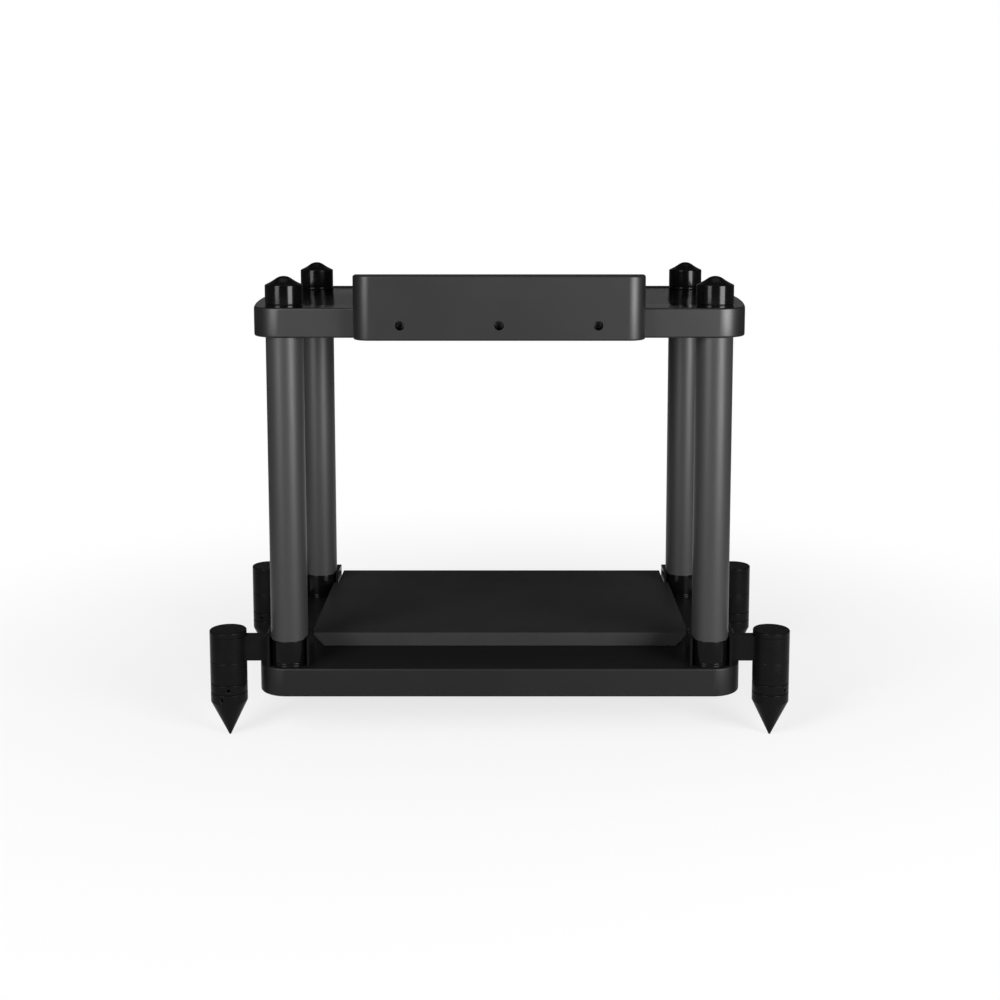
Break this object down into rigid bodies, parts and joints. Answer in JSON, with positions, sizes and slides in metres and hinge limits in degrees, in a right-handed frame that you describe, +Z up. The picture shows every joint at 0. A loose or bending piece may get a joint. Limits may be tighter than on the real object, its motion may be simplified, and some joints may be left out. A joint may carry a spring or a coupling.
{
  "type": "speaker stand",
  "caption": "Low speaker stand: bowed top and base boards on tubular corner posts, a raised shelf board, a front stop block, and outrigger feet with height-adjustable spikes.",
  "frame": {"origin": "on the floor, at the centre of the stand's outline seen from above", "axes": "+X to the right seen from the front, across the feet; +Y from the front to the rear; +Z up"},
  "size_m": [0.602, 0.348, 0.4827],
  "materials": {
    "lacquered_board": "satin black lacquer over board",
    "post_satin": "satin black anodised",
    "gloss_black_metal": "gloss black",
    "satin_black_metal": "satin black",
    "black_screw": "black oxide",
    "zinc_steel": "zinc plated",
    "insert_brass": "turned"
  },
  "bodies": {
    "stand": {"top_board": "lacquered_board", "base_board": "lacquered_board", "shelf_board": "lacquered_board", "front_block": "lacquered_board", "front_left_post_tube": "post_satin", "front_left_post_collar": "gloss_black_metal", "front_left_tie_rod": "zinc_steel", "front_left_cap_nut": "gloss_black_metal", "front_left_outrigger": "satin_black_metal", "front_left_foot_cap": "satin_black_metal", "front_left_foot_sleeve": "satin_black_metal", "front_right_post_tube": "post_satin", "front_right_post_collar": "gloss_black_metal", "front_right_tie_rod": "zinc_steel", "front_right_cap_nut": "gloss_black_metal", "front_right_outrigger": "satin_black_metal", "front_right_foot_cap": "satin_black_metal", "front_right_foot_sleeve": "satin_black_metal", "rear_left_post_tube": "post_satin", "rear_left_post_collar": "gloss_black_metal", "rear_left_tie_rod": "zinc_steel", "rear_left_cap_nut": "gloss_black_metal", "rear_left_outrigger": "satin_black_metal", "rear_left_foot_cap": "satin_black_metal", "rear_left_foot_sleeve": "satin_black_metal", "rear_right_post_tube": "post_satin", "rear_right_post_collar": "gloss_black_metal", "rear_right_tie_rod": "zinc_steel", "rear_right_cap_nut": "gloss_black_metal", "rear_right_outrigger": "satin_black_metal", "rear_right_foot_cap": "satin_black_metal", "rear_right_foot_sleeve": "satin_black_metal", "block_screws": "black_screw", "block_inserts": "insert_brass", "rod_washers": "zinc_steel", "rod_nuts": "zinc_steel", "clamp_screws": "black_screw", "guide_screws": "black_screw", "shelf_screws": "zinc_steel"},
    "front_left_ring": {"front_left_jack_ring": "satin_black_metal"},
    "front_left_foot_spike": {"front_left_spike": "satin_black_metal"},
    "front_right_ring": {"front_right_jack_ring": "satin_black_metal"},
    "front_right_foot_spike": {"front_right_spike": "satin_black_metal"},
    "rear_left_ring": {"rear_left_jack_ring": "satin_black_metal"},
    "rear_left_foot_spike": {"rear_left_spike": "satin_black_metal"},
    "rear_right_ring": {"rear_right_jack_ring": "satin_black_metal"},
    "rear_right_foot_spike": {"rear_right_spike": "satin_black_metal"}
  },
  "joints": [
    {"name": "front_left_ring_turn", "type": "hinge", "parent": "stand", "child": "front_left_ring", "pos_m": [-0.282, -0.1255, 0.0525], "axis": [0, 0, 1], "range_deg": [0, 1800]},
    {"name": "front_left_spike_travel", "type": "slide", "parent": "stand", "child": "front_left_foot_spike", "axis": [0, 0, -1], "range_m": [0, 0.01]},
    {"name": "front_right_ring_turn", "type": "hinge", "parent": "stand", "child": "front_right_ring", "pos_m": [0.282, -0.1255, 0.0525], "axis": [0, 0, 1], "range_deg": [0, 1800]},
    {"name": "front_right_spike_travel", "type": "slide", "parent": "stand", "child": "front_right_foot_spike", "axis": [0, 0, -1], "range_m": [0, 0.01]},
    {"name": "rear_left_ring_turn", "type": "hinge", "parent": "stand", "child": "rear_left_ring", "pos_m": [-0.282, 0.1295, 0.0525], "axis": [0, 0, 1], "range_deg": [0, 1800]},
    {"name": "rear_left_spike_travel", "type": "slide", "parent": "stand", "child": "rear_left_foot_spike", "axis": [0, 0, -1], "range_m": [0, 0.01]},
    {"name": "rear_right_ring_turn", "type": "hinge", "parent": "stand", "child": "rear_right_ring", "pos_m": [0.282, 0.1295, 0.0525], "axis": [0, 0, 1], "range_deg": [0, 1800]},
    {"name": "rear_right_spike_travel", "type": "slide", "parent": "stand", "child": "rear_right_foot_spike", "axis": [0, 0, -1], "range_m": [0, 0.01]}
  ],
  "couplings": [
    {"joint": "front_left_spike_travel", "follows": "front_left_ring_turn", "m_per_rad": 0.0003183},
    {"joint": "front_right_spike_travel", "follows": "front_right_ring_turn", "m_per_rad": 0.0003183},
    {"joint": "rear_left_spike_travel", "follows": "rear_left_ring_turn", "m_per_rad": 0.0003183},
    {"joint": "rear_right_spike_travel", "follows": "rear_right_ring_turn", "m_per_rad": 0.0003183}
  ]
}
